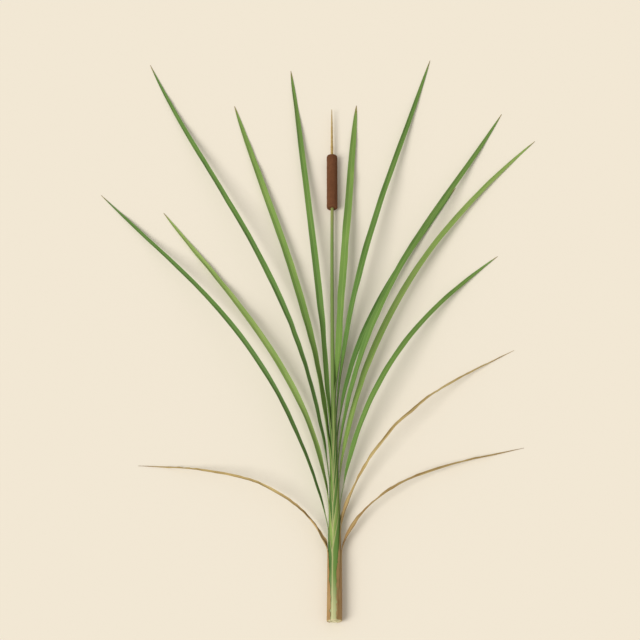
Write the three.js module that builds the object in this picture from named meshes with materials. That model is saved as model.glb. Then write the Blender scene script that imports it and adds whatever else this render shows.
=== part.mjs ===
// Cattail stalk, cut off at the ground and lying on a flat surface.
// Lengths are in millimetres. The stalk lies along +Y with its tip away, and +Z is up.
import * as THREE from "three";

const stemLength = 1187;
const stemFootRadius = 6.5;
const stemTopRadius = 4.4;
const stemBow = 1;
const stemBowAt = [400, 800];
const stemSides = 12;
const stemSteps = 16;
const headLength = 172;
const headRadius = 15.5;
const headShoulder = 2.4;
const headShoulderLength = 3.84;
const headShoulderCorner = [0.72, 1.08];
const headSides = 24;
const spireLength = 162;
const spireCollarRadius = 4.125;
const spireCollarLength = 5;
const spireFootRadius = 3.3;
const spireMiddleRadius = 2.64;
const spireTipRadius = 0.9;
const spireTipLength = 1;
const spireSides = 12;
const clearance = 0.4;

// Every leaf is a sheath round the stem up to its collar, and a free blade above it.
const leafEdge = 0.5;
const sheathThickness = 0.85;
const sheathPitch = 1.7;
const sheathFit = 0.7;
const sheathAngle = 87;
const sheathStep = 90;
const collarFirst = 180;
const collarStep = 60;
const openLength = 120;
const openSteps = 6;
const collarWidth = 0.82;
const collarAngleMost = 74;
const bladeThickness = 2.6;
const bladeFullWidth = 20;
const bladeTipThickness = 0.8;
const bladeTipWidth = 0.9;
const bladeTipHeight = 1;
const bladeTipRound = 0.8;
const bladeNarrowing = 0.32;
const bladeAngle = 18;
const bladePull = 0.34;
const leanAngle = 52;
const acrossSteps = 6;
const bladeSteps = 13;

// Parts of the blade's length, 0 at the collar and 1 at the tip, over which it changes.
const leanPart = [0.02, 0.2];
const openPart = [0, 0.22];
const widenPart = [0, 0.3];
const thickenPart = [0.05, 0.3];
const thinPart = [0.6, 1];
const sinkPart = [0.2, 0.96];

// Leaves of each side, from the inside out. The tip is [out from the stem, along the stem].
// leave and heading are the ways the blade points at its collar and at its tip, from straight
// along the stem towards the side. rise is how high the blade arches and crest is where it is
// highest. Blades leave edge up, soon lean outwards, and lie flat from the part called flat on.
const rightLeaves = [
  { name: "leaf_right_1", tip: [72, 1545], leave: 3, heading: 5,
    width: 24, rise: 14, crest: 0.45, flat: 0.62, taper: 14 },
  { name: "leaf_right_2", tip: [294, 1706], leave: 4, heading: 17,
    width: 18, rise: 34, crest: 0.4, flat: 0.5, taper: 12 },
  { name: "leaf_right_3", tip: [353, 1263], leave: 4.4, heading: 34,
    width: 17, rise: 16, crest: 0.4, flat: 0.5, taper: 12 },
  { name: "leaf_right_4", tip: [498, 1514], leave: 5.7, heading: 30,
    width: 19, rise: 68, crest: 0.4, flat: 0.45, taper: 12 },
  { name: "leaf_right_5", tip: [590, 1420], leave: 6.4, heading: 47,
    width: 18, rise: 26, crest: 0.4, flat: 0.45, taper: 12 },
  { name: "leaf_right_6", tip: [462, 1040], leave: 8, heading: 52,
    width: 16, rise: 44, crest: 0.45, flat: 0.45, taper: 12 },
  { name: "dry_leaf_right_1", tip: [492, 750], leave: 11, heading: 63,
    width: 9, rise: 40, crest: 0.5, flat: 0.4, taper: 5 },
  { name: "dry_leaf_right_2", tip: [502, 467], leave: 15, heading: 77,
    width: 8, rise: 16, crest: 0.45, flat: 0.4, taper: 5 },
];
const leftLeaves = [
  { name: "leaf_left_1", tip: [121, 1668], leave: 3.2, heading: 7,
    width: 20, rise: 22, crest: 0.42, flat: 0.55, taper: 16 },
  { name: "leaf_left_2", tip: [286, 1543], leave: 3.6, heading: 17,
    width: 22, rise: 12, crest: 0.4, flat: 0.5, taper: 14 },
  { name: "leaf_left_3", tip: [541, 1689], leave: 5, heading: 24,
    width: 17, rise: 54, crest: 0.4, flat: 0.45, taper: 12 },
  { name: "leaf_left_4", tip: [478, 1180], leave: 5.8, heading: 36,
    width: 18, rise: 18, crest: 0.4, flat: 0.45, taper: 12 },
  { name: "leaf_left_5", tip: [659, 1238], leave: 12, heading: 44,
    width: 15, rise: 66, crest: 0.45, flat: 0.42, taper: 10 },
  { name: "dry_leaf_left_1", tip: [510, 417], leave: 17, heading: 88,
    width: 8, rise: 26, crest: 0.5, flat: 0.4, taper: 5 },
];

const rad = THREE.MathUtils.degToRad;
const lerp = THREE.MathUtils.lerp;
const smooth = THREE.MathUtils.smoothstep;
const up = new THREE.Vector3(0, 0, 1);

// The bundle of sheaths and the seed head both rest on the surface.
const footHeight = stemFootRadius + sheathFit + rightLeaves.length * sheathPitch;
const stemCurve = new THREE.CatmullRomCurve3([
  new THREE.Vector3(0, 0, footHeight),
  new THREE.Vector3(stemBow, stemBowAt[0], footHeight),
  new THREE.Vector3(-stemBow, stemBowAt[1], (footHeight + headRadius) / 2),
  new THREE.Vector3(0, stemLength, headRadius),
]);

function stemRadiusAt(y) {
  return lerp(stemFootRadius, stemTopRadius, y / stemLength);
}

const shoot = new THREE.Group();
shoot.name = "cattail_shoot";

const looks = {
  leaf: { color: 0x6b8e47, roughness: 0.55, metalness: 0 },
  dryLeaf: { color: 0xb09655, roughness: 0.75, metalness: 0 },
  stem: { color: 0x708b4b, roughness: 0.5, metalness: 0 },
  head: { color: 0x6e422d, roughness: 0.95, metalness: 0 },
  spire: { color: 0xc8b073, roughness: 0.8, metalness: 0 },
};

function add(name, geometry, look) {
  geometry.computeVertexNormals();
  const mesh = new THREE.Mesh(geometry, new THREE.MeshStandardMaterial(look));
  mesh.name = name;
  shoot.add(mesh);
  return mesh;
}

// Moves every vertex of a simple body to the place that the function gives for it.
function shaped(geometry, place) {
  const position = geometry.attributes.position;
  const corner = new THREE.Vector3();
  for (let i = 0; i < position.count; i += 1) {
    corner.fromBufferAttribute(position, i);
    const moved = place(corner.x, corner.y, corner.z);
    position.setXYZ(i, moved.x, moved.y, moved.z);
  }
  return geometry;
}

// Stem: a slim round body that tapers along its slightly bowed line.
const stemBody = shaped(new THREE.CylinderGeometry(1, 1, 1, stemSides, stemSteps), (x, y, z) => {
  const along = y + 0.5;
  const radius = stemRadiusAt(along * stemLength);
  return stemCurve.getPoint(along).add(new THREE.Vector3(x * radius, 0, z * radius));
});
add("stem", stemBody, looks.stem);

// Seed head and spire: turned bodies on the line of the stem's end.
const headStart = stemLength + clearance;
const headProfile = [
  new THREE.Vector2(0, 0),
  new THREE.Vector2(headRadius - headShoulder, 0),
  new THREE.Vector2(headRadius - headShoulderCorner[0], headShoulderCorner[1]),
  new THREE.Vector2(headRadius, headShoulderLength),
  new THREE.Vector2(headRadius, headLength - headShoulderLength),
  new THREE.Vector2(headRadius - headShoulderCorner[0], headLength - headShoulderCorner[1]),
  new THREE.Vector2(headRadius - headShoulder, headLength),
  new THREE.Vector2(0, headLength),
];
const head = add("seed_head", new THREE.LatheGeometry(headProfile, headSides), looks.head);
head.position.set(0, headStart, headRadius);

const spireProfile = [
  new THREE.Vector2(0, 0),
  new THREE.Vector2(spireCollarRadius, 0),
  new THREE.Vector2(spireFootRadius, spireCollarLength),
  new THREE.Vector2(spireMiddleRadius, spireLength / 2),
  new THREE.Vector2(spireTipRadius, spireLength - spireTipLength),
  new THREE.Vector2(0, spireLength),
];
const spire = add("spire", new THREE.LatheGeometry(spireProfile, spireSides), looks.spire);
spire.position.set(0, headStart + headLength + clearance, headRadius);

// The middle line of a blade, from its collar to its tip: a sideways bend, and an arch over it.
class BladeCurve extends THREE.Curve {
  constructor(leaf, side, start) {
    super();
    this.leaf = leaf;
    this.start = start;
    this.tip = new THREE.Vector3(side * leaf.tip[0], leaf.tip[1], bladeTipHeight);
    const reach = start.distanceTo(this.tip) * bladePull;
    const leave = rad(leaf.leave);
    const heading = rad(leaf.heading);
    const first = new THREE.Vector3(side * Math.sin(leave), Math.cos(leave), 0);
    const last = new THREE.Vector3(-side * Math.sin(heading), -Math.cos(heading), 0);
    first.multiplyScalar(reach).add(start);
    last.multiplyScalar(reach).add(this.tip);
    this.bend = new THREE.CubicBezierCurve3(start, first, last, this.tip);
  }

  getPoint(t) {
    const { rise, crest } = this.leaf;
    const arch = smooth(t, 0, crest) * (1 - smooth(t, crest, sinkPart[1]));
    const ground = lerp(this.start.z, this.tip.z, smooth(t, ...sinkPart));
    return this.bend.getPoint(t).setZ(ground + rise * arch);
  }
}

// Cross-sections of a leaf: where the middle is, which way it runs and faces, and its size.
function leafSections(leaf, side, band, bands) {
  const sections = [];
  const collar = collarFirst + collarStep * (bands - 1 - band);
  const innerRadius = (y) => stemRadiusAt(y) + sheathFit + band * sheathPitch;
  const sheathMiddle = (y) => {
    const axis = stemCurve.getPoint(y / stemLength);
    return new THREE.Vector3(axis.x + side * innerRadius(y), y, axis.z);
  };
  const collarRadius = innerRadius(collar);
  const collarAngle = Math.min((leaf.width * collarWidth) / (2 * collarRadius), rad(collarAngleMost));
  const collarGrown = (2 * collarAngle * collarRadius) / leaf.width;

  const heights = [];
  for (let y = 0; y < collar - openLength; y += sheathStep) {
    heights.push(y);
  }
  for (let step = 0; step < openSteps; step += 1) {
    heights.push(collar - openLength + (step * openLength) / openSteps);
  }
  for (const y of heights) {
    const angle = lerp(rad(sheathAngle), collarAngle, Math.max(0, 1 - (collar - y) / openLength));
    sections.push({
      middle: sheathMiddle(y),
      along: new THREE.Vector3(0, 1, 0),
      facing: new THREE.Vector3(side, 0, 0),
      angle,
      width: 2 * angle * innerRadius(y),
      thick: sheathThickness,
    });
  }

  const curve = new BladeCurve(leaf, side, sheathMiddle(collar));
  for (let step = 0; step <= bladeSteps; step += 1) {
    const t = step / bladeSteps;
    const along = curve.getTangent(t);
    const over = up.clone().addScaledVector(along, -up.dot(along)).normalize();
    const sideways = along.clone().cross(over).multiplyScalar(side);
    const lean = rad(leanAngle) * smooth(t, ...leanPart);
    const twist = lean + rad(90 - leanAngle) * smooth(t, leanPart[1], leaf.flat);
    const slim = (1 - bladeNarrowing * t * t) * Math.pow(1 - Math.pow(t, leaf.taper), bladeTipRound);
    const grown = lerp(collarGrown, 1, smooth(t, ...widenPart)) * slim;
    const full = lerp(sheathThickness, bladeThickness, smooth(t, ...thickenPart));
    const thick = lerp(full, bladeTipThickness, smooth(t, ...thinPart));
    sections.push({
      middle: curve.getPoint(t),
      along,
      facing: sideways.multiplyScalar(Math.cos(twist)).addScaledVector(over, -Math.sin(twist)),
      angle: lerp(collarAngle, rad(bladeAngle), smooth(t, ...openPart)),
      width: Math.max(leaf.width * grown, bladeTipWidth),
      thick: thick * Math.min(leaf.width / bladeFullWidth, 1),
    });
  }
  return sections;
}

// A leaf is a long thin slab whose cross-sections are bent into arcs and set along its line.
function leafBody(leaf, side, band, bands) {
  const sections = leafSections(leaf, side, band, bands);
  const steps = sections.length - 1;
  const slab = new THREE.BoxGeometry(2, 1, 1, acrossSteps, steps, 1);
  return shaped(slab, (x, y, z) => {
    const at = sections[Math.round((y + 0.5) * steps)];
    const across = at.along.clone().cross(at.facing);
    const bend = at.width / (2 * at.angle);
    const depth = bend + (z + 0.5) * lerp(at.thick, leafEdge, x * x);
    const turn = x * at.angle;
    return at.middle
      .clone()
      .addScaledVector(at.facing, depth * Math.cos(turn) - bend)
      .addScaledVector(across, depth * Math.sin(turn));
  });
}

for (const [side, leaves] of [[1, rightLeaves], [-1, leftLeaves]]) {
  leaves.forEach((leaf, band) => {
    const look = leaf.name.startsWith("dry") ? looks.dryLeaf : looks.leaf;
    add(leaf.name, leafBody(leaf, side, band, leaves.length), look);
  });
}

// The part's origin is the middle of its footprint, on the surface it lies on.
const extent = new THREE.Box3().setFromObject(shoot, true);
const centre = extent.getCenter(new THREE.Vector3());
shoot.position.set(-centre.x, -centre.y, -extent.min.z);

const stalk = new THREE.Group();
stalk.name = "cattail_stalk";
stalk.add(shoot);

export default stalk;
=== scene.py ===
import math

import bpy
import numpy as np
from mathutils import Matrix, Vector


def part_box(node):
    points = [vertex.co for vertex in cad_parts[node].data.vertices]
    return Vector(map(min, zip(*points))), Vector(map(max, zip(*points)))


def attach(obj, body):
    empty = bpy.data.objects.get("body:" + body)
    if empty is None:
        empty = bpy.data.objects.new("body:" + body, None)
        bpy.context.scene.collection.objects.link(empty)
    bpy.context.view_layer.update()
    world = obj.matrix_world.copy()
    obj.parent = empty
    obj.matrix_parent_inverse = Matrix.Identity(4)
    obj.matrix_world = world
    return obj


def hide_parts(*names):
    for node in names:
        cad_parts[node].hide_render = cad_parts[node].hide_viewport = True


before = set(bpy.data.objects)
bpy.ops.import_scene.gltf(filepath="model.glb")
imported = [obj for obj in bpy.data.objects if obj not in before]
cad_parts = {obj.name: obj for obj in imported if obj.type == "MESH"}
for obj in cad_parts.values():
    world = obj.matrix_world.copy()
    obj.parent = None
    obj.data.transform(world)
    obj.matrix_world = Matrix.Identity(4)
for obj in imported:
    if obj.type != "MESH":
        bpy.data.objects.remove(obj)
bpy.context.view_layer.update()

scene = bpy.context.scene
restHeight = 0.00012  # nothing lies lower than this on the floor
alongStalk = np.array([0, 1.0, 0])
print("frame loaded:", len(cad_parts), "nodes")


# Sums on arrays

def ease(start, end, x):
    # smooth step: 0 before start, 1 after end, with level ends
    t = np.clip((np.asarray(x, float) - start) / (end - start), 0, 1)
    return t * t * (3 - 2 * t)


def mix(a, b, t):
    # straight blend: a where t is 0, b where t is 1
    return a + (b - a) * t


def unit(vectors):
    # the same directions at length one
    return vectors / np.linalg.norm(vectors, axis=-1, keepdims=True)


def ripple(places, size, seed, waves=14):
    # smooth random field: the sum of sine waves with random directions and wavelengths about size,
    # scaled so that it swings by about one either way
    rng = np.random.default_rng(seed)
    places = np.atleast_2d(np.asarray(places, float))
    ways = rng.normal(size=(waves, places.shape[-1])) * (2 * math.pi / size / math.sqrt(places.shape[-1]))
    phases = rng.uniform(0, 2 * math.pi, waves)
    return np.sin(places @ ways.T + phases).sum(-1) / math.sqrt(waves / 2)


def ripple1(x, size, seed):
    # the same field along one line
    return ripple(np.asarray(x, float)[:, None], size, seed)


# Meshes from arrays

def ringQuads(rows, ring):
    # four-sided faces between neighbouring rows of a closed ring of points
    row, at = np.meshgrid(np.arange(rows - 1), np.arange(ring), indexing="ij")
    after = (at + 1) % ring
    corners = [row * ring + at, row * ring + after, (row + 1) * ring + after, (row + 1) * ring + at]
    return np.stack(corners, -1).reshape(-1, 4)


def poleFan(first, ring, pole, turned):
    # three-sided faces from a ring of points to its pole
    at = np.arange(ring)
    after = (at + 1) % ring
    fan = np.stack([first + after, first + at, np.full(ring, pole)], -1)
    return fan[:, ::-1] if turned else fan


def volumeOf(points, faces):
    # signed volume by the divergence theorem, a fan of triangles for each face
    total = 0.0
    for corner in range(1, faces.shape[1] - 1):
        a, b, c = points[faces[:, 0]], points[faces[:, corner]], points[faces[:, corner + 1]]
        total += (a * np.cross(b, c)).sum() / 6
    return total


def putMesh(name, points, faceSets, fields, look, node=None, sharp=50):
    # points (n, 3), arrays of faces by their corner count, and one number per point for each field
    points = np.asarray(points, float).reshape(-1, 3)
    if sum(volumeOf(points, faces) for faces in faceSets) < 0:
        faceSets = [faces[:, ::-1] for faces in faceSets]
    corners = np.concatenate([faces.ravel() for faces in faceSets])
    counts = np.concatenate([np.full(len(faces), faces.shape[1]) for faces in faceSets])
    starts = np.concatenate([[0], np.cumsum(counts)[:-1]])
    mesh = bpy.data.meshes.new(name)
    mesh.vertices.add(len(points))
    mesh.vertices.foreach_set("co", points.astype(np.float32).ravel())
    mesh.loops.add(len(corners))
    mesh.loops.foreach_set("vertex_index", corners.astype(np.int32))
    mesh.polygons.add(len(counts))
    mesh.polygons.foreach_set("loop_start", starts.astype(np.int32))
    mesh.polygons.foreach_set("use_smooth", np.ones(len(counts), bool))
    for key, values in fields.items():
        values = np.broadcast_to(values, len(points)) if np.ndim(values) == 0 else np.ravel(values)
        mesh.attributes.new(key, "FLOAT", "POINT").data.foreach_set("value", values.astype(np.float32))
    mesh.update(calc_edges=True)
    mesh.set_sharp_from_angle(angle=math.radians(sharp))
    mesh.materials.append(look)
    piece = bpy.data.objects.new(name, mesh)
    scene.collection.objects.link(piece)
    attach(piece, "root")
    if node:
        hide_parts(node)


# Shader sums

class Wire:
    # a socket that takes part in sums: each operator adds one Math node
    def __init__(self, look, socket):
        self.look = look
        self.socket = socket

    def __add__(self, other):
        return self.look.sum("ADD", self, other)

    def __sub__(self, other):
        return self.look.sum("SUBTRACT", self, other)

    def __rsub__(self, other):
        return self.look.sum("SUBTRACT", other, self)

    def __mul__(self, other):
        return self.look.sum("MULTIPLY", self, other)

    __radd__ = __add__
    __rmul__ = __mul__


class Look:
    # a material on one Principled shader, whose uniform values are set on its own sockets
    def __init__(self, name, uniform):
        self.material = bpy.data.materials.new(name)
        self.material.use_nodes = True
        self.tree = self.material.node_tree
        self.shader = self.tree.nodes["Principled BSDF"]
        for key, value in uniform.items():
            self.shader.inputs[key].default_value = value

    def plug(self, socket, value):
        if isinstance(value, Wire):
            self.tree.links.new(value.socket, socket)
        else:
            socket.default_value = value

    def node(self, kind, settings, inputs, output=0):
        made = self.tree.nodes.new(kind)
        for key, value in settings.items():
            if key == "stops":
                ramp = made.color_ramp
                while len(ramp.elements) < len(value):
                    ramp.elements.new(0.5)
                for element, (place, color) in zip(ramp.elements, value):
                    element.position = place
                    element.color = color
            else:
                setattr(made, key, value)
        for key, value in inputs.items():
            self.plug(made.inputs[key], value)
        return Wire(self, made.outputs[output])

    def sum(self, operation, first, second=0.0):
        return self.node("ShaderNodeMath", {"operation": operation}, {0: first, 1: second})

    def field(self, name):
        return self.node("ShaderNodeAttribute", {"attribute_name": name}, {}, "Fac")

    def step(self, value, start, end, low=0.0, high=1.0):
        settings = {"interpolation_type": "SMOOTHSTEP"}
        inputs = {"Value": value, "From Min": start, "From Max": end, "To Min": low, "To Max": high}
        return self.node("ShaderNodeMapRange", settings, inputs)

    def blend(self, factor, first, second):
        settings = {"data_type": "RGBA", "clamp_factor": True}
        return self.node("ShaderNodeMix", settings, {0: factor, 6: first, 7: second}, 2)

    def ramp(self, finish, shade):
        # colour by shade, at the places that the finish gives for its named colours
        stops = [(place, finish[name]) for name, place in finish["stops"].items()]
        return self.node("ShaderNodeValToRGB", {"stops": stops}, {0: shade})

    def vector(self, x, y, z):
        return self.node("ShaderNodeCombineXYZ", {}, {0: x, 1: y, 2: z})

    def noise(self, vector, pattern):
        inputs = {"Vector": vector, "Scale": pattern["scale"], "Detail": pattern["detail"],
                  "Roughness": pattern["rough"]}
        return self.node("ShaderNodeTexNoise", {}, inputs, "Fac")

    def cells(self, scale):
        # distance from the middle of the nearest cell, for the spongy pith of a cut face
        return self.node("ShaderNodeTexVoronoi", {}, {"Vector": self.place(), "Scale": scale}, "Distance")

    def place(self):
        return self.node("ShaderNodeTexCoord", {}, {}, "Object")

    def bump(self, height, distance, strength):
        inputs = {"Height": height, "Distance": distance, "Strength": strength}
        return self.node("ShaderNodeBump", {}, inputs)

    def wear(self, links):
        for key, value in links.items():
            self.plug(self.shader.inputs[key], value)
        return self.material


def paint(red, green, blue):
    # display colour, 0 to 255, as the linear colour that a shader takes, by the sRGB curve
    shares = np.array([red, green, blue]) / 255
    linear = np.where(shares <= 0.04045, shares / 12.92, ((shares + 0.055) / 1.055) ** 2.4)
    return (*linear.tolist(), 1.0)


# Finishes
# A share is how strongly a colour lies over the one below it, and a part is where a change starts and ends.
# On a leaf, reach runs from 0 at its foot to 1 at its tip, across from -1 to 1 between its edges, along is in
# metres from its foot, tone is its own shade, and sheath is 1 on the sheath and 0 on the blade.

noiseMiddle = 0.5  # noise swings about this
cutPart = (0.0001, 0.0012)  # metres from a leaf's cut foot


def leafNoise(look, across, along, tone, pattern):
    # noise stretched along the leaf, and shifted by its tone so that no two leaves are alike
    wide, long, shift = pattern["stretch"]
    return look.noise(look.vector(across * wide, along * long, tone * shift), pattern)


greenLeaf = {
    "deep": paint(62, 98, 38), "mid": paint(92, 132, 56), "fresh": paint(122, 156, 72),
    "pale": paint(158, 182, 100), "rib": paint(164, 188, 112), "margin": paint(150, 172, 92),
    "foot": paint(206, 205, 158), "cut": paint(226, 219, 182), "pith": paint(182, 176, 124),
    "paper": paint(196, 186, 138), "tip": paint(150, 114, 62), "speck": paint(126, 96, 50),
    "stops": {"deep": 0.0, "mid": 0.34, "fresh": 0.68, "pale": 1.0},
    "streaks": {"stretch": (5.0, 5.0, 40.0), "scale": 2.4, "detail": 4.0, "rough": 0.6, "share": 0.34},
    "patches": {"stretch": (0.7, 9.0, 61.0), "scale": 1.3, "detail": 3.0, "rough": 0.5, "share": 0.5},
    "specks": {"stretch": (3.0, 60.0, 13.0), "scale": 2.2, "detail": 2.0, "rough": 0.5, "share": 0.55},
    "paling": 0.12, "palingPart": (0.15, 0.85), "veins": 58.0, "veinSway": 1.6, "veinShare": 0.22,
    "veinPart": (-0.4, 1.0), "ribWidth": 0.1, "ribShare": 0.4, "marginPart": (0.88, 1.0), "marginShare": 0.4,
    "paperPart": (0.82, 1.0), "paperShare": 0.7, "footPart": (0.02, 0.16), "footPatches": 0.05,
    "footShare": 0.72, "speckPart": (0.7, 0.78), "speckReach": (0.3, 0.9), "tipPart": (0.98, 1.004),
    "tipStreaks": 0.06, "tipWidth": 0.01, "tipShare": 0.85, "cells": 900.0, "cellPart": (0.15, 0.6),
    "rough": 0.4, "patchRough": 0.16, "tipRough": 0.25, "veinRough": 0.06, "bump": (0.0004, 0.6),
}


def greenLeafLook():
    # green by tone, streaks and patches, then veins, midrib, margins, foot, specks, tip and cut laid over it
    own = greenLeaf
    look = Look("leafGreen", {"Specular IOR Level": 0.42, "Coat Roughness": 0.35, "Coat Weight": 0.08})
    reach, across, along = look.field("reach"), look.field("across"), look.field("along")
    tone, sheath = look.field("tone"), look.field("sheath")
    width = look.sum("ABSOLUTE", across)
    streaks = leafNoise(look, across, along, tone, own["streaks"])
    patches = leafNoise(look, across, along, tone, own["patches"])
    specks = leafNoise(look, across, along, tone, own["specks"])
    veins = look.sum("SINE", across * own["veins"] + streaks * own["veinSway"])
    ridges = look.step(veins, -1.0, 1.0)
    shade = tone + (streaks - noiseMiddle) * own["streaks"]["share"]
    shade = shade + (patches - noiseMiddle) * own["patches"]["share"]
    shade = shade + look.step(reach, *own["palingPart"]) * own["paling"]
    color = look.ramp(own, shade)
    color = look.blend(look.step(veins, *own["veinPart"]) * own["veinShare"], color, own["deep"])
    rib = look.step(width, 0.0, own["ribWidth"], 1.0, 0.0)
    color = look.blend(rib * own["ribShare"] * (1 - sheath), color, own["rib"])
    color = look.blend(look.step(width, *own["marginPart"]) * own["marginShare"], color, own["margin"])
    paper = sheath * look.step(width, *own["paperPart"])
    color = look.blend(paper * own["paperShare"], color, own["paper"])
    foot = look.step(along + patches * own["footPatches"], *own["footPart"], 1.0, 0.0)
    color = look.blend(foot * own["footShare"], color, own["foot"])
    spotted = look.step(specks, *own["speckPart"]) * look.step(reach, *own["speckReach"])
    color = look.blend(spotted * own["specks"]["share"], color, own["speck"])
    ragged = (streaks - noiseMiddle) * own["tipStreaks"] + width * width * own["tipWidth"]
    dried = look.step(reach + ragged, *own["tipPart"])
    color = look.blend(dried * own["tipShare"], color, own["tip"])
    pith = look.blend(look.step(look.cells(own["cells"]), *own["cellPart"]), own["pith"], own["cut"])
    color = look.blend(look.step(along, *cutPart, 1.0, 0.0), color, pith)
    rough = own["rough"] + patches * own["patchRough"] + dried * own["tipRough"] + ridges * own["veinRough"]
    height = ridges * 0.5 + streaks * 0.5
    return look.wear({"Base Color": color, "Roughness": rough, "Normal": look.bump(height, *own["bump"])})


dryLeaf = {
    "straw": paint(204, 186, 134), "tan": paint(180, 157, 104), "brown": paint(142, 110, 70),
    "dark": paint(104, 76, 50), "foot": paint(150, 106, 68), "cut": paint(200, 178, 130),
    "stops": {"dark": 0.1, "brown": 0.28, "tan": 0.5, "straw": 0.78},
    "fibres": {"stretch": (9.0, 7.0, 40.0), "scale": 2.6, "detail": 5.0, "rough": 0.65, "share": 0.6},
    "patches": {"stretch": (0.8, 11.0, 27.0), "scale": 1.5, "detail": 3.0, "rough": 0.5, "share": 0.7},
    "streaks": {"stretch": (3.2, 2.2, 53.0), "scale": 2.2, "detail": 3.0, "rough": 0.6, "share": 0.7},
    "toneShare": 0.5, "tipPart": (0.86, 1.0), "tipShare": 0.2, "footPart": (0.12, 0.5), "footPatches": 0.08,
    "footShare": 0.55, "rough": 0.66, "fibreRough": 0.2, "bump": (0.0007, 0.8),
}


def dryLeafLook():
    # straw to brown by tone, fibres, patches and streaks, darker at the tip, with a rusty foot
    own = dryLeaf
    look = Look("leafDried", {"Specular IOR Level": 0.25})
    reach, across, along = look.field("reach"), look.field("across"), look.field("along")
    tone = look.field("tone")
    fibres = leafNoise(look, across, along, tone, own["fibres"])
    patches = leafNoise(look, across, along, tone, own["patches"])
    streaks = leafNoise(look, across, along, tone, own["streaks"])
    shade = tone * own["toneShare"] + fibres * own["fibres"]["share"]
    shade = shade + (patches - noiseMiddle) * own["patches"]["share"]
    shade = shade - look.step(reach, *own["tipPart"]) * own["tipShare"]
    shade = shade + (streaks - noiseMiddle) * own["streaks"]["share"]
    color = look.ramp(own, shade)
    foot = look.step(along + patches * own["footPatches"], *own["footPart"], 1.0, 0.0)
    color = look.blend(foot * own["footShare"], color, own["foot"])
    color = look.blend(look.step(along, *cutPart, 1.0, 0.0), color, own["cut"])
    rough = own["rough"] + fibres * own["fibreRough"]
    return look.wear({"Base Color": color, "Roughness": rough, "Normal": look.bump(fibres, *own["bump"])})


greenStem = {
    "foot": paint(196, 198, 146), "lower": paint(98, 130, 58), "upper": paint(122, 148, 78),
    "neck": paint(150, 152, 92), "line": paint(72, 102, 42), "cut": paint(230, 222, 188),
    "pith": paint(204, 196, 150), "grain": {"scale": 3.0, "detail": 4.0, "rough": 0.5}, "grainAround": 4.0,
    "grainAlong": 9.0, "lines": 30.0, "lineSway": 2.0, "lineShare": 0.22, "grainShare": 0.3,
    "risePart": (0.1, 0.8), "neckPart": (0.9, 1.0), "neckShare": 0.7, "footPart": (0.02, 0.12),
    "footGrain": 0.03, "footShare": 0.8, "cells": 900.0, "cellPart": (0.1, 0.6), "rough": 0.42,
    "grainRough": 0.16, "bump": (0.0002, 0.7),
}


def stemLook():
    # green that pales up the stem, with lines along it, a pale foot and a spongy cut face
    own = greenStem
    look = Look("stemGreen", {"Specular IOR Level": 0.4})
    reach, around, cut = look.field("reach"), look.field("around"), look.field("cut")
    sides = [look.sum(wave, around) * own["grainAround"] for wave in ("SINE", "COSINE")]
    grain = look.noise(look.vector(*sides, reach * own["grainAlong"]), own["grain"])
    lines = look.sum("SINE", around * own["lines"] + grain * own["lineSway"])
    color = look.blend(look.step(reach, *own["risePart"]), own["lower"], own["upper"])
    color = look.blend(look.step(reach, *own["neckPart"]) * own["neckShare"], color, own["neck"])
    foot = look.step(reach + grain * own["footGrain"], *own["footPart"], 1.0, 0.0)
    color = look.blend(foot * own["footShare"], color, own["foot"])
    lined = look.step(lines, 0.0, 1.0) * own["lineShare"] + (grain - noiseMiddle) * own["grainShare"]
    color = look.blend(lined, color, own["line"])
    pith = look.blend(look.step(look.cells(own["cells"]), *own["cellPart"]), own["pith"], own["cut"])
    color = look.blend(cut, color, pith)
    rough = own["rough"] + grain * own["grainRough"]
    normal = look.bump(look.step(lines, -1.0, 1.0), *own["bump"])
    return look.wear({"Base Color": color, "Roughness": rough, "Normal": normal})


brownHead = {
    "dark": paint(70, 42, 29), "brown": paint(112, 73, 49), "warm": paint(136, 95, 67),
    "tip": paint(164, 124, 94), "stops": {"dark": 0.0, "brown": 0.4, "warm": 0.72, "tip": 1.0},
    "soft": {"scale": 55.0, "detail": 4.0, "rough": 0.6, "share": 0.2},
    "fine": {"scale": 520.0, "detail": 3.0, "rough": 0.6, "share": 0.45},
    "shadeAndToneShare": 0.5, "base": 0.24, "rough": 0.86, "fineRough": 0.1, "bump": (0.0004, 0.7),
}


def seedHeadLook():
    # velvety brown with painted shade: darker deep between the fibres and in the hollows of the body than at
    # the fibre tips
    own = brownHead
    look = Look("seedHeadBrown", {"Specular IOR Level": 0.12, "Sheen Weight": 0.22, "Sheen Roughness": 0.45,
                                  "Sheen Tint": paint(196, 150, 116)})
    place, rise = look.place(), look.field("rise")
    soft, fine = look.noise(place, own["soft"]), look.noise(place, own["fine"])
    # rise carries painted shade by depth in the pile, and each fibre's own random tone
    shade = rise * own["shadeAndToneShare"] + (soft - noiseMiddle) * own["soft"]["share"]
    shade = shade + (fine - noiseMiddle) * own["fine"]["share"] + own["base"]
    rough = own["rough"] + fine * own["fineRough"]
    return look.wear({"Base Color": look.ramp(own, shade), "Roughness": rough,
                      "Normal": look.bump(fine, *own["bump"])})


strawSpire = {
    "straw": paint(190, 166, 108), "tan": paint(164, 136, 80), "brown": paint(114, 84, 50),
    "stops": {"brown": 0.15, "tan": 0.42, "straw": 0.72},
    "flecks": {"scale": 420.0, "detail": 4.0, "rough": 0.65, "share": 0.5},
    "bands": {"scale": 60.0, "detail": 3.0, "rough": 0.5, "share": 0.7},
    "shadeAndToneShare": 0.35, "base": 0.12, "rough": 0.7, "fleckRough": 0.2, "bump": (0.0004, 0.8),
}


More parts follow.
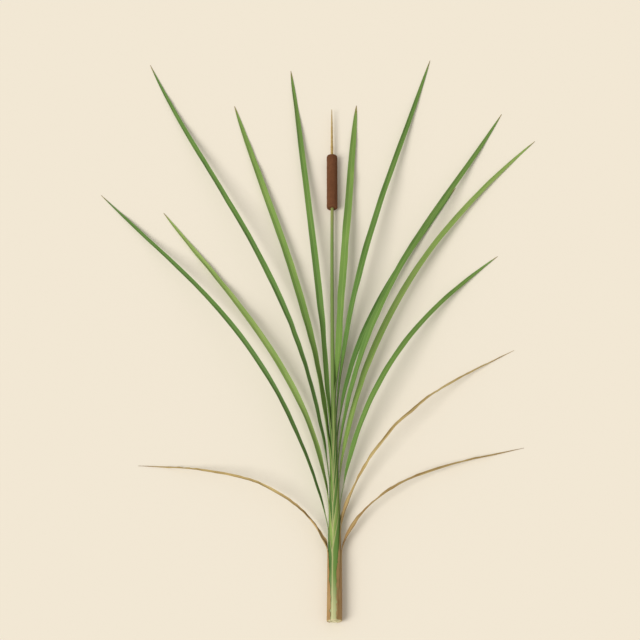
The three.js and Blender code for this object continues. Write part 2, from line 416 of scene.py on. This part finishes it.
def spireLook():
    # straw with brown flecks and slow bands, with painted shade: darker at the bristle roots and in the
    # stalk's hollows, paler towards the ends of the bristles
    own = strawSpire
    look = Look("spireStraw", {"Specular IOR Level": 0.2})
    place, rise = look.place(), look.field("rise")
    flecks, bands = look.noise(place, own["flecks"]), look.noise(place, own["bands"])
    # rise carries painted shade by depth and hollows, and each bristle's own random tone
    shade = rise * own["shadeAndToneShare"] + flecks * own["flecks"]["share"]
    shade = shade + (bands - noiseMiddle) * own["bands"]["share"] + own["base"]
    rough = own["rough"] + flecks * own["fleckRough"]
    return look.wear({"Base Color": look.ramp(own, shade), "Roughness": rough,
                      "Normal": look.bump(flecks, *own["bump"])})


looks = {
    "leaf": greenLeafLook(), "dry_leaf": dryLeafLook(), "stem": stemLook(),
    "seed_head": seedHeadLook(), "spire": spireLook(),
}
print("finishes made:", len(looks))


# Stem

stem = {"footRadius": 0.0065, "topRadius": 0.0044, "bow": (0.0, 0.001, -0.001, 0.0),
        "bowAt": (0.0, 0.4, 0.8), "rows": 260, "around": 72, "ridges": 24, "ridgeHeight": 0.00009,
        "wobble": 0.02, "wobbleSize": 0.2, "seed": 3, "cutRings": (0.3, 0.55, 0.8),
        "cutDepths": (0.0011, 0.0008, 0.0003)}

headLow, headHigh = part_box("seed_head")
stemLow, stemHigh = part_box("stem")
spireLow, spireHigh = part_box("spire")
headRadius = (headHigh.x - headLow.x) / 2
lineX = (headHigh.x + headLow.x) / 2
footY = stemLow.y
stemLength = stemHigh.y - stemLow.y
footHeight = stemHigh.z - stem["footRadius"]
axisAtY = (*stem["bowAt"], stemLength)
axisBow = np.polyfit(axisAtY, stem["bow"], 3)
axisDrop = np.polyfit(axisAtY, (footHeight, footHeight, (footHeight + headRadius) / 2, headRadius), 3)


def stemRadius(y):
    # even taper from the foot to the head
    return mix(stem["footRadius"], stem["topRadius"], y / stemLength)


def stemAxis(y):
    # middle of the stem at y from the cut: a cubic through four points, level at first and down to the head
    return np.stack([lineX + np.polyval(axisBow, y), footY + y, np.polyval(axisDrop, y)], -1)


def buildStem():
    # round section carried along the axis, r = R (1 + wobble) + h cos(n a), with a slightly hollow cut end
    y = np.linspace(0, stemLength, stem["rows"])
    around = np.linspace(0, 2 * math.pi, stem["around"], endpoint=False)
    wobble = 1 + stem["wobble"] * ripple1(y, stem["wobbleSize"], stem["seed"])[:, None]
    ridges = stem["ridgeHeight"] * np.cos(stem["ridges"] * around)[None, :]
    radius = stemRadius(y)[:, None] * wobble + ridges
    cutRadius = radius[0][None, :] * np.array(stem["cutRings"])[:, None]
    rows = np.concatenate([cutRadius, radius])
    along = np.concatenate([stem["cutDepths"], y])
    ring = stemAxis(along)[:, None, :] + np.stack([
        rows * np.cos(around), np.zeros_like(rows), rows * np.sin(around)], -1)
    poles = stemAxis(np.array([stem["cutDepths"][0], stemLength]))
    points = np.concatenate([ring.reshape(-1, 3), poles])
    count = len(along) * len(around)
    quads = ringQuads(len(along), len(around))
    fans = np.concatenate([poleFan(0, len(around), count, False),
                           poleFan(count - len(around), len(around), count + 1, True)])
    cut = np.repeat(np.concatenate([np.ones(len(cutRadius)), np.zeros(len(y))]), len(around))
    fields = {
        "reach": np.append(np.repeat(along / stemLength, len(around)), (0, 1)),
        "around": np.append(np.tile(around, len(along)), (0, 0)),
        "cut": np.append(cut, (1, 0)),
    }
    putMesh("stem_tube", points, [quads, fans], fields, looks["stem"], "stem")


buildStem()
print("stem built")


# Seed head and spire

# rise is how far a point stands out of the pile; colour follows it as painted shade, dark deep in the pile,
# light at fibre tips
fibreShadeAndTone = {"root": 0.2, "tip": 0.8, "varies": (-0.2, 0.25)}
poleShade = 0.3


def turnedPiece(name, y, radius, axisX, axisZ, rise, around, look, node):
    # radius (rows, around) turned about a line along Y, closed by a pole at each end
    rows, ring = radius.shape
    shell = np.stack([axisX + radius * np.cos(around), np.broadcast_to(y[:, None], radius.shape),
                      np.maximum(axisZ + radius * np.sin(around), restHeight)], -1)
    poles = np.array([[axisX, y[0], axisZ], [axisX, y[-1], axisZ]])
    points = np.concatenate([shell.reshape(-1, 3), poles])
    count = rows * ring
    fans = np.concatenate([poleFan(0, ring, count, False), poleFan(count - ring, ring, count + 1, True)])
    fields = {"rise": np.append(rise.ravel(), (poleShade, poleShade))}
    putMesh(name, points, [ringQuads(rows, ring), fans], fields, look, node)


def putFibres(name, roots, ways, lengths, width, look, seed):
    # each fibre is a slim closed spike: three root corners round its line, and a tip
    rng = np.random.default_rng(seed)
    ways = unit(ways)
    side = unit(np.cross(ways, unit(rng.normal(size=ways.shape))))
    other = np.cross(ways, side)
    corners = []
    for turn in (0, 2 * math.pi / 3, 4 * math.pi / 3):
        corners.append(roots + width / 2 * (side * math.cos(turn) + other * math.sin(turn)))
    corners.append(roots + ways * lengths[:, None])
    points = np.stack(corners, 1).reshape(-1, 3)
    points[:, 2] = np.maximum(points[:, 2], restHeight)
    first = 4 * np.arange(len(roots))[:, None]
    faces = np.concatenate([first + np.array(way) for way in ((0, 2, 1), (0, 1, 3), (1, 2, 3), (2, 0, 3))])
    # painted shade: each fibre darker at its root than at its tip, shifted by a random tone of its own
    rise = np.tile([fibreShadeAndTone["root"]] * 3 + [fibreShadeAndTone["tip"]], len(roots))
    rise = rise + np.repeat(rng.uniform(*fibreShadeAndTone["varies"], len(roots)), 4)
    putMesh(name, points, [faces], {"rise": rise}, look)


seedHead = {"shoulder": 0.0024, "shoulderOut": 0.9, "shoulderLong": 1.3, "shoulderSteps": 9,
            "pileDepth": 0.0006, "around": 180, "rows": 270, "lumpSize": 0.004, "lumpHeight": 0.0001,
            "lumpWaves": 40, "lumpSeed": 7, "swellSize": 0.03, "swellHeight": 0.00014, "swellSeed": 8,
            "evenEnd": 0.006, "rise": 0.25, "lumpShade": 0.08}


def headProfile(share):
    # side line of the head, share 0 to 1 from end to end along its outline: flat ends and round shoulders
    length = headHigh.y - headLow.y
    full = headRadius - seedHead["pileDepth"]
    bendOut = seedHead["shoulder"] * seedHead["shoulderOut"]
    bendLong = seedHead["shoulder"] * seedHead["shoulderLong"]
    quarter = np.linspace(0, math.pi / 2, seedHead["shoulderSteps"])
    endRadius = np.concatenate([[stem["topRadius"]], full - bendOut + bendOut * np.sin(quarter)])
    endPlace = np.concatenate([[0.0], bendLong * (1 - np.cos(quarter))])
    radius = np.concatenate([endRadius, endRadius[::-1]])
    place = np.concatenate([endPlace, length - endPlace[::-1]])
    steps = np.concatenate([[0], np.cumsum(np.hypot(np.diff(radius), np.diff(place)))])
    return np.interp(share, steps / steps[-1], radius), np.interp(share, steps / steps[-1], place)


def headSkin(radius, place, angle):
    # small packed lumps and a slow unevenness over the head, r = R + lumps + swell, none at its two ends
    own = seedHead
    skin = np.stack([np.cos(angle) * headRadius, np.sin(angle) * headRadius, place], -1).reshape(-1, 3)
    lumps = ripple(skin, own["lumpSize"], own["lumpSeed"], own["lumpWaves"]).reshape(place.shape)
    swell = ripple(skin, own["swellSize"], own["swellSeed"]).reshape(place.shape)
    edge = ease(0, own["evenEnd"], np.minimum(place, headHigh.y - headLow.y - place))
    return radius + edge * (own["lumpHeight"] * lumps + own["swellHeight"] * swell), lumps


def buildSeedHead():
    # turned body, its side line made uneven by headSkin
    around = np.linspace(0, 2 * math.pi, seedHead["around"], endpoint=False)
    radius, place = headProfile(np.linspace(0, 1, seedHead["rows"]))
    angle, y = np.meshgrid(around, place)
    shell, lumps = headSkin(radius[:, None], y, angle)
    # painted shade: lighter on the body's lumps, darker in the hollows between them
    rise = seedHead["rise"] + seedHead["lumpShade"] * lumps
    turnedPiece("seed_head_body", headLow.y + place, shell, lineX, headRadius, rise, around,
                looks["seed_head"], "seed_head")


pile = {"fibres": 40000, "length": 0.00105, "shortest": 0.55, "width": 0.00042, "start": 0.008, "span": 0.984,
        "step": 0.002, "jitter": 0.05, "lean": 0.3, "spread": 0.34, "sink": 0.0002, "seeds": (21, 22)}


def buildPile():
    # fibres on a golden-angle spiral along the head's outline, leaning a little towards the tip
    rng = np.random.default_rng(pile["seeds"][0])
    count = pile["fibres"]
    share = pile["start"] + pile["span"] * (np.arange(count) + 0.5) / count
    radius, place = headProfile(share)
    wider, further = headProfile(share + pile["step"])
    angle = np.arange(count) * math.pi * (3 - math.sqrt(5)) + rng.normal(0, pile["jitter"], count)
    out = np.stack([np.cos(angle), np.zeros(count), np.sin(angle)], -1)
    run = unit(np.stack([wider - radius, further - place], -1))
    normal = out * run[:, 1:2] - alongStalk * run[:, 0:1]
    radius = headSkin(radius, place, angle)[0]
    roots = np.array([lineX, headLow.y, headRadius]) + out * radius[:, None] + alongStalk * place[:, None]
    ways = normal + alongStalk * pile["lean"] + rng.normal(0, pile["spread"], (count, 3))
    lengths = pile["length"] * rng.uniform(pile["shortest"], 1.0, count)
    putFibres("seed_head_pile", roots - normal * pile["sink"], ways, lengths, pile["width"],
              looks["seed_head"], pile["seeds"][1])


spireStalk = {"footRadius": 0.0033, "tipRadius": 0.0009, "collar": 1.25, "collarLength": 0.005, "around": 44,
              "rows": 420, "narrowing": 1.9, "tipShare": 0.02, "tipEnd": 1.004, "tipLeast": 0.02,
              "lumpSize": 0.0015, "lumps": 0.045, "lumpWaves": 30, "lumpSeed": 31, "swellSize": 0.03,
              "swell": 0.05, "swellSeed": 32, "rise": 0.5, "lumpShade": 0.25}


def spireSkin(share, angle):
    # slim body that narrows to a round tip, rough with remains of shed flowers, r = R (1 + rough + swell)
    own = spireStalk
    place = share * (spireHigh.y - spireLow.y)
    radius = mix(own["footRadius"], own["tipRadius"], share ** own["narrowing"])
    radius = radius * mix(own["collar"], 1, ease(0, own["collarLength"], place))
    radius = radius * np.sqrt(np.clip((own["tipEnd"] - share) / own["tipShare"], own["tipLeast"], 1))
    skin = np.stack([np.cos(angle) * own["footRadius"], np.sin(angle) * own["footRadius"], place], -1)
    rough = ripple(skin.reshape(-1, 3), own["lumpSize"], own["lumpSeed"], own["lumpWaves"])
    rough = rough.reshape(share.shape)
    swell = ripple1(place.ravel(), own["swellSize"], own["swellSeed"]).reshape(share.shape)
    return radius * (1 + own["lumps"] * rough + own["swell"] * swell), rough


def buildSpire():
    # turned body, its side line by spireSkin
    rows = np.linspace(0, 1, spireStalk["rows"])
    around = np.linspace(0, 2 * math.pi, spireStalk["around"], endpoint=False)
    angle, share = np.meshgrid(around, rows)
    shell, rough = spireSkin(share, angle)
    y = spireLow.y + rows * (spireHigh.y - spireLow.y)
    # painted shade: lighter on the stalk's lumps, darker in the hollows between them
    rise = spireStalk["rise"] + spireStalk["lumpShade"] * rough
    turnedPiece("spire_stalk", y, shell, lineX, headRadius, rise, around, looks["spire"], "spire")


bristle = {"fibres": 5200, "length": 0.0013, "shortest": 0.4, "tipLength": 0.5, "width": 0.00016,
           "part": (0.01, 0.96), "lean": 0.9, "spread": 0.35, "seeds": (33, 34)}


def buildBristles():
    # short fibres at random places on the spire, leaning towards its tip and shorter there
    rng = np.random.default_rng(bristle["seeds"][0])
    count = bristle["fibres"]
    share = rng.uniform(*bristle["part"], count)
    angle = rng.uniform(0, 2 * math.pi, count)
    out = np.stack([np.cos(angle), np.zeros(count), np.sin(angle)], -1)
    radius = spireSkin(share, angle)[0]
    roots = np.array([lineX, spireLow.y, headRadius]) + out * (radius - bristle["width"])[:, None]
    roots[:, 1] += share * (spireHigh.y - spireLow.y)
    ways = out + alongStalk * bristle["lean"] + rng.normal(0, bristle["spread"], (count, 3))
    lengths = bristle["length"] * rng.uniform(bristle["shortest"], 1.0, count)
    lengths = lengths * mix(1.0, bristle["tipLength"], share)
    putFibres("spire_bristle", roots, ways, lengths, bristle["width"], looks["spire"],
              bristle["seeds"][1])


buildSeedHead()
buildPile()
buildSpire()
buildBristles()
print("seed head and spire built")


# Leaves: a sheath round the stem up to the collar, and a free blade above it

# Parts of a blade's length run from 0 at the collar to 1 at the tip. Angles are in degrees.
sheath = {"fit": 0.0007, "pitch": 0.0017, "thick": 0.00085, "footThick": 0.00132, "thinBy": 0.8,
          "edge": 0.00025, "edgeMost": 0.5, "cutUneven": 0.0012, "raggedSize": 0.07, "fineSize": 0.018,
          "fineShare": 0.6, "tearSize": 0.03, "tearFrom": 0.8, "liftFrom": 0.8, "curlSize": 0.05,
          "domed": 1.7, "steps": 240, "collarFirst": 0.18, "collarStep": 0.06, "open": 0.12,
          "collarAngleMost": 74}
blade = {"thick": 0.0026, "tipThick": 0.0008, "fullWidth": 0.02, "tipWidth": 0.0007, "tipHeight": 0.001,
         "tipRound": 0.8, "reach": 0.34, "angle": 16, "lean": 52, "fold": 14, "foldSoft": 0.0008,
         "tipFold": 0.7, "narrowing": 0.32, "domed": 0.8, "ridges": 11, "ridgeHeight": 0.00011,
         "waveAcross": 0.012, "across": 47, "steps": 200, "settle": 0.016, "sharp": 60, "landAt": 0.96,
         "sinkPart": (0.2, 0.96), "widenPart": (0, 0.3), "openPart": (0, 0.22), "thickenPart": (0.0, 0.16),
         "thinPart": (0.6, 1), "flattenFrom": 0.2, "foldPart": (0.08, 0.4), "unfoldPart": (0.7, 1),
         "fromSheath": (0, 0.06), "stillTip": (0.97, 1), "evenTip": (0.9, 1)}
leafKinds = {
    "leaf": {"rows": 210, "collarWidth": 0.82, "leanPart": (0.01, 0.17), "ragged": 1.0, "tear": 0.0,
             "lift": 0.0, "sway": 7, "swaySize": 0.45, "wave": 0.0007, "waveSize": 0.09, "roll": 1,
             "straightGrain": False},
    "dry_leaf": {"rows": 340, "collarWidth": 1.9, "leanPart": (0.0, 0.12), "ragged": 5.0, "tear": 9.0,
                 "lift": 0.0011, "sway": 18, "swaySize": 0.16, "wave": 0.0011, "waveSize": 0.035, "roll": 3.2,
                 "straightGrain": True},
}
leafSeeds = {"first": 100, "step": 10, "ragged": 7, "fine": 8, "tears": 9, "wave": 50, "curl": 60}

# From the inside out on each side. leave and heading are the ways the blade points at its collar and its tip,
# rise and crest are how high and where it arches, flat is where it has turned to lie flat, taper is how late
# it narrows to its tip, and wrap is how far round the stem its sheath reaches on either hand.
rightLeaves = {
    "leaf_right_1": {"leave": 3.9, "heading": 5, "width": 0.024, "rise": 0.014,
                     "crest": 0.45, "flat": 0.62, "taper": 14, "tone": 0.5, "wrap": 104},
    "leaf_right_2": {"leave": 4, "heading": 17, "width": 0.018, "rise": 0.034,
                     "crest": 0.4, "flat": 0.5, "taper": 12, "tone": 0.3, "wrap": 110},
    "leaf_right_3": {"leave": 4.4, "heading": 34, "width": 0.017, "rise": 0.016,
                     "crest": 0.4, "flat": 0.5, "taper": 12, "tone": 0.18, "wrap": 106},
    "leaf_right_4": {"leave": 5.7, "heading": 30, "width": 0.019, "rise": 0.068,
                     "crest": 0.4, "flat": 0.45, "taper": 12, "tone": 0.38, "wrap": 112},
    "leaf_right_5": {"leave": 6.4, "heading": 47, "width": 0.018, "rise": 0.026,
                     "crest": 0.4, "flat": 0.45, "taper": 12, "tone": 0.74, "wrap": 107},
    "leaf_right_6": {"leave": 8, "heading": 52, "width": 0.016, "rise": 0.044,
                     "crest": 0.45, "flat": 0.45, "taper": 12, "tone": 0.42, "wrap": 113},
    "dry_leaf_right_1": {"leave": 11, "heading": 63, "width": 0.009, "rise": 0.04,
                         "crest": 0.5, "flat": 0.4, "taper": 5, "tone": 0.55, "wrap": 73},
    "dry_leaf_right_2": {"leave": 15, "heading": 77, "width": 0.008, "rise": 0.016,
                         "crest": 0.45, "flat": 0.4, "taper": 5, "tone": 0.35, "wrap": 57},
}
leftLeaves = {
    "leaf_left_1": {"leave": 3.2, "heading": 7, "width": 0.020, "rise": 0.022,
                    "crest": 0.42, "flat": 0.55, "taper": 16, "tone": 0.36, "wrap": 108},
    "leaf_left_2": {"leave": 3.6, "heading": 17, "width": 0.022, "rise": 0.012,
                    "crest": 0.4, "flat": 0.5, "taper": 14, "tone": 0.56, "wrap": 105},
    "leaf_left_3": {"leave": 5, "heading": 24, "width": 0.017, "rise": 0.054,
                    "crest": 0.4, "flat": 0.45, "taper": 12, "tone": 0.26, "wrap": 112},
    "leaf_left_4": {"leave": 5.8, "heading": 36, "width": 0.018, "rise": 0.018,
                    "crest": 0.4, "flat": 0.45, "taper": 12, "tone": 0.76, "wrap": 106},
    "leaf_left_5": {"leave": 12, "heading": 44, "width": 0.015, "rise": 0.066,
                    "crest": 0.45, "flat": 0.42, "taper": 10, "tone": 0.22, "wrap": 110},
    "dry_leaf_left_1": {"leave": 17, "heading": 88, "width": 0.008, "rise": 0.026,
                        "crest": 0.5, "flat": 0.4, "taper": 5, "tone": 0.48, "wrap": 62},
}


def leafLine(node, leaf, kind, side, band, bands, seed):
    # middle line and section sizes of a leaf, first up its sheath and then along its blade.
    # The blade is a cubic Bezier seen from above, with a smooth arch for its height.
    collar = sheath["collarFirst"] + sheath["collarStep"] * (bands - 1 - band)

    def innerRadius(y):
        # the left sheaths lie between the right ones, so that each clasps those inside it
        return stemRadius(y) + sheath["fit"] + (band if side > 0 else band + 0.5) * sheath["pitch"]

    def sheathMiddle(y):
        return stemAxis(y) + np.outer(innerRadius(y), (side, 0, 0))

    low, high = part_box(node)
    y = np.linspace(sheath["cutUneven"] * (0.5 + 0.5 * math.sin(seed)), collar, sheath["steps"])
    start = sheathMiddle(np.array([collar]))[0]
    tip = np.array([high.x if side > 0 else low.x, high.y, blade["tipHeight"]])
    reach = np.linalg.norm(tip - start) * blade["reach"]
    leave, heading = math.radians(leaf["leave"]), math.radians(leaf["heading"])
    first = start + reach * np.array([side * math.sin(leave), math.cos(leave), 0])
    last = tip - reach * np.array([side * math.sin(heading), math.cos(heading), 0])
    t = np.linspace(0, 1, blade["steps"])[1:]
    line = (np.outer((1 - t) ** 3, start) + np.outer(3 * t * (1 - t) ** 2, first)
            + np.outer(3 * t ** 2 * (1 - t), last) + np.outer(t ** 3, tip))
    arch = ease(0, leaf["crest"], t) * (1 - ease(leaf["crest"], blade["landAt"], t))
    line[:, 2] = mix(start[2], tip[2], ease(*blade["sinkPart"], t)) + leaf["rise"] * arch

    # the sheath opens from its wrap to the collar, and the blade goes from the collar's width to its own
    collarRadius = innerRadius(collar)
    collarWidth = leaf["width"] * kind["collarWidth"]
    collarAngle = min(collarWidth / (2 * collarRadius), math.radians(sheath["collarAngleMost"]))
    slim = (1 - blade["narrowing"] * t ** 2) * (1 - t ** leaf["taper"]) ** blade["tipRound"]
    grown = mix(2 * collarAngle * collarRadius / leaf["width"], 1, ease(*blade["widenPart"], t)) * slim
    bladeWidth = np.maximum(leaf["width"] * grown, blade["tipWidth"])
    bladeAngle = mix(collarAngle, math.radians(blade["angle"]), ease(*blade["openPart"], t))
    fine = sheath["fineShare"] * ripple1(y, sheath["fineSize"], seed + leafSeeds["fine"])
    ragged = np.abs(ripple1(y, sheath["raggedSize"], seed + leafSeeds["ragged"]) + fine)
    tears = np.maximum(ripple1(y, sheath["tearSize"], seed + leafSeeds["tears"]) - sheath["tearFrom"], 0)
    wrap = leaf["wrap"] - kind["ragged"] * ragged - kind["tear"] * tears
    opening = np.clip(1 - (collar - y) / sheath["open"], 0, 1)
    sheathAngle = mix(np.radians(wrap), collarAngle, opening)
    wholeAngle = mix(math.radians(leaf["wrap"]), collarAngle, opening)
    stout = min(leaf["width"] / blade["fullWidth"], 1)
    sheathThick = mix(sheath["footThick"], sheath["thick"], ease(0, sheath["thinBy"] * collar, y))
    thick = mix(sheath["thick"], blade["thick"], ease(*blade["thickenPart"], t))
    thick = mix(thick, blade["tipThick"], ease(*blade["thinPart"], t)) * stout
    lean = math.radians(blade["lean"])
    twist = lean * ease(*kind["leanPart"], t)
    twist = twist + (math.pi / 2 - lean) * ease(blade["flattenFrom"], leaf["flat"], t)
    fold = ease(*blade["foldPart"], t) * mix(1, blade["tipFold"], ease(*blade["unfoldPart"], t))
    zero = np.zeros_like(y)
    return np.concatenate([sheathMiddle(y), line]), {
        "angle": np.concatenate([sheathAngle, bladeAngle]),
        "width": np.concatenate([2 * sheathAngle * innerRadius(y), bladeWidth]),
        "thick": np.concatenate([sheathThick, thick]),
        "twist": np.concatenate([zero, twist]),
        "fold": np.concatenate([zero, fold]),
        "sheath": np.concatenate([zero + 1, 1 - ease(*blade["fromSheath"], t)]),
        "grain": np.concatenate([sheathAngle / wholeAngle, np.ones_like(t)]),
    }


def evenly(line, sizes, rows, settle):
    # the same line at even steps, its corner at the collar eased over the length called settle
    steps = np.concatenate([[0], np.cumsum(np.linalg.norm(np.diff(line, axis=0), axis=1))])
    along = np.linspace(0, steps[-1], rows)
    line = np.stack([np.interp(along, steps, line[:, k]) for k in range(3)], -1)
    half = max(1, int(round(settle / along[1])))
    kernel = np.hanning(2 * half + 3)[1:-1]
    padded = np.concatenate([2 * line[:1] - line[half:0:-1], line, 2 * line[-1:] - line[-2:-half - 2:-1]])
    line = np.stack([np.convolve(padded[:, k], kernel / kernel.sum(), "valid") for k in range(3)], -1)
    return line, {key: np.interp(along, steps, values) for key, values in sizes.items()}, along


def buildLeaf(node, leaf, side, band, bands, seed):
    # a thin arched section carried along the line: inner face, then outer face.
    # Across the section n = arc - fold |a| + wave, with ridges and a crescent of thickness on the faces.
    slot = "dry_leaf" if node.startswith("dry") else "leaf"
    kind = leafKinds[slot]
    line, sizes = leafLine(node, leaf, kind, side, band, bands, seed)
    line, sizes, along = evenly(line, sizes, kind["rows"], blade["settle"])
    reach = along / along[-1]
    free = 1 - sizes["sheath"]
    ends = free * (1 - ease(*blade["stillTip"], reach))
    sway = math.radians(kind["sway"]) * ripple1(along, kind["swaySize"], seed) * ends
    way = unit(np.gradient(line, axis=0))
    over = unit(np.array([0, 0, 1.0]) - way * way[:, 2:3])
    outward = side * np.cross(way, over)
    twist = (sizes["twist"] + sway)[:, None]
    facing = np.cos(twist) * outward - np.sin(twist) * over
    across = np.cross(way, facing)

    u = np.linspace(-1, 1, blade["across"])
    angle = sizes["angle"] * mix(1, kind["roll"], free)
    bend = (sizes["width"] / (2 * angle))[:, None]
    turn = angle[:, None] * u
    edge = np.minimum(sheath["edge"], sizes["thick"] * sheath["edgeMost"])[:, None]
    domed = mix(sheath["domed"], blade["domed"], free)[:, None]
    thick = edge + (sizes["thick"][:, None] - edge) * (1 - u ** 2) ** domed
    slim = np.clip(sizes["width"] / leaf["width"], 0, 1)[:, None]
    ridges = blade["ridgeHeight"] * slim * np.cos(math.pi * blade["ridges"] * u) * (1 - u ** 4)
    fold = math.tan(math.radians(blade["fold"])) * sizes["fold"][:, None]
    grid = np.stack(np.broadcast_arrays(u[None, :] * blade["waveAcross"], along[:, None]), -1).reshape(-1, 2)
    wave = ripple(grid, kind["waveSize"], seed + leafSeeds["wave"]).reshape(len(along), len(u))
    wave = wave * (free * (1 - ease(*blade["evenTip"], reach)))[:, None] * u ** 2 * kind["wave"]
    # the margins of a dried sheath stand off, here more and there less
    curl = np.clip(0.5 + 0.5 * ripple1(along, sheath["curlSize"], seed + leafSeeds["curl"]), 0, 2)
    lift = (curl * sizes["sheath"] * kind["lift"])[:, None] * ease(sheath["liftFrom"], 1, np.abs(u))

    def face(depth):
        # the arc at this depth from its own middle, folded along the midrib with a soft crease
        a = depth * np.sin(turn)
        crease = np.sqrt(a ** 2 + blade["foldSoft"] ** 2) - blade["foldSoft"]
        n = depth * np.cos(turn) - bend - fold * crease + wave
        return line[:, None, :] + a[..., None] * across[:, None, :] + n[..., None] * facing[:, None, :]

    inner = face(bend - ridges + lift)
    outer = face(bend + thick + ridges + lift)
    shell = np.concatenate([inner, outer[:, ::-1]], 1)
    shell[..., 2] = np.maximum(shell[..., 2], restHeight)
    rows, ring, half = len(along), 2 * len(u), len(u)
    at = np.arange(half - 1)
    cap = np.stack([at + 1, at, ring - 1 - at, ring - 2 - at], -1)
    faces = np.concatenate([ringQuads(rows, ring), cap, cap[:, ::-1] + (rows - 1) * ring])
    # a torn sheath's fibres still run straight
    grain = sizes["grain"][:, None] if kind["straightGrain"] else np.ones((rows, 1))
    fields = {
        "reach": np.repeat(reach, ring), "along": np.repeat(along, ring),
        "sheath": np.repeat(sizes["sheath"], ring), "across": grain * np.concatenate([u, u[::-1]]),
        "tone": leaf["tone"],
    }
    putMesh(node + "_blade", shell, [faces], fields, looks[slot], node, blade["sharp"])


for side, leaves in ((1, rightLeaves), (-1, leftLeaves)):
    for band, (node, leaf) in enumerate(leaves.items()):
        seed = leafSeeds["first"] + leafSeeds["step"] * band + side
        buildLeaf(node, leaf, side, band, len(leaves), seed)
print("leaves built:", len(rightLeaves) + len(leftLeaves))


# Floor, light and camera

stage = {"floor": paint(236, 230, 218), "floorReach": 40.0, "wall": paint(243, 233, 214),
         "sky": paint(255, 250, 240), "skyStrength": 0.54, "keyFrom": (-2.3, -1.5, 2.9), "keySpread": 34,
         "keyPower": 2.25, "keyColor": (1.0, 0.96, 0.9), "lens": 85, "elevation": 64, "distance": 4.12,
         "aim": (0.0, -0.02, 0.02)}


def buildFloor():
    # one wide level square
    look = Look("floorPlain", {"Base Color": stage["floor"], "Roughness": 0.9, "Specular IOR Level": 0.1})
    mesh = bpy.data.meshes.new("floor")
    far = stage["floorReach"]
    mesh.from_pydata([(-far, -far, 0), (far, -far, 0), (far, far, 0), (-far, far, 0)], [], [(0, 1, 2, 3)])
    mesh.materials.append(look.material)
    floor = bpy.data.objects.new("floor", mesh)
    scene.collection.objects.link(floor)


def buildLight():
    # soft light from all round, and a wide sun from the left
    world = bpy.data.worlds.new("studio")
    world.use_nodes = True
    tree = world.node_tree
    sky = tree.nodes["Background"]
    sky.inputs["Color"].default_value = stage["sky"]
    sky.inputs["Strength"].default_value = stage["skyStrength"]
    # past the floor's edge the camera sees a pale wall, which gives no light
    wall = tree.nodes.new("ShaderNodeBackground")
    wall.inputs["Color"].default_value = stage["wall"]
    pick = tree.nodes.new("ShaderNodeMixShader")
    path = tree.nodes.new("ShaderNodeLightPath")
    tree.links.new(path.outputs["Is Camera Ray"], pick.inputs[0])
    tree.links.new(sky.outputs[0], pick.inputs[1])
    tree.links.new(wall.outputs[0], pick.inputs[2])
    tree.links.new(pick.outputs[0], tree.nodes["World Output"].inputs["Surface"])
    scene.world = world
    lamp = bpy.data.lights.new("key", "SUN")
    lamp.angle = math.radians(stage["keySpread"])
    lamp.energy = stage["keyPower"]
    lamp.color = stage["keyColor"]
    key = bpy.data.objects.new("key", lamp)
    key.location = stage["keyFrom"]
    key.rotation_euler = (-Vector(stage["keyFrom"])).to_track_quat("-Z", "Y").to_euler()
    scene.collection.objects.link(key)


def buildCamera():
    # looks down on the stalk from its cut end
    lens = bpy.data.cameras.new("camera")
    lens.lens = stage["lens"]
    camera = bpy.data.objects.new("camera", lens)
    tilt = math.radians(stage["elevation"])
    back = Vector((0, -math.cos(tilt), math.sin(tilt)))
    camera.location = Vector(stage["aim"]) + back * stage["distance"]
    camera.rotation_euler = (-back).to_track_quat("-Z", "Y").to_euler()
    scene.collection.objects.link(camera)
    scene.camera = camera


buildFloor()
buildLight()
buildCamera()
scene.view_settings.view_transform = "Standard"
print("stage set")
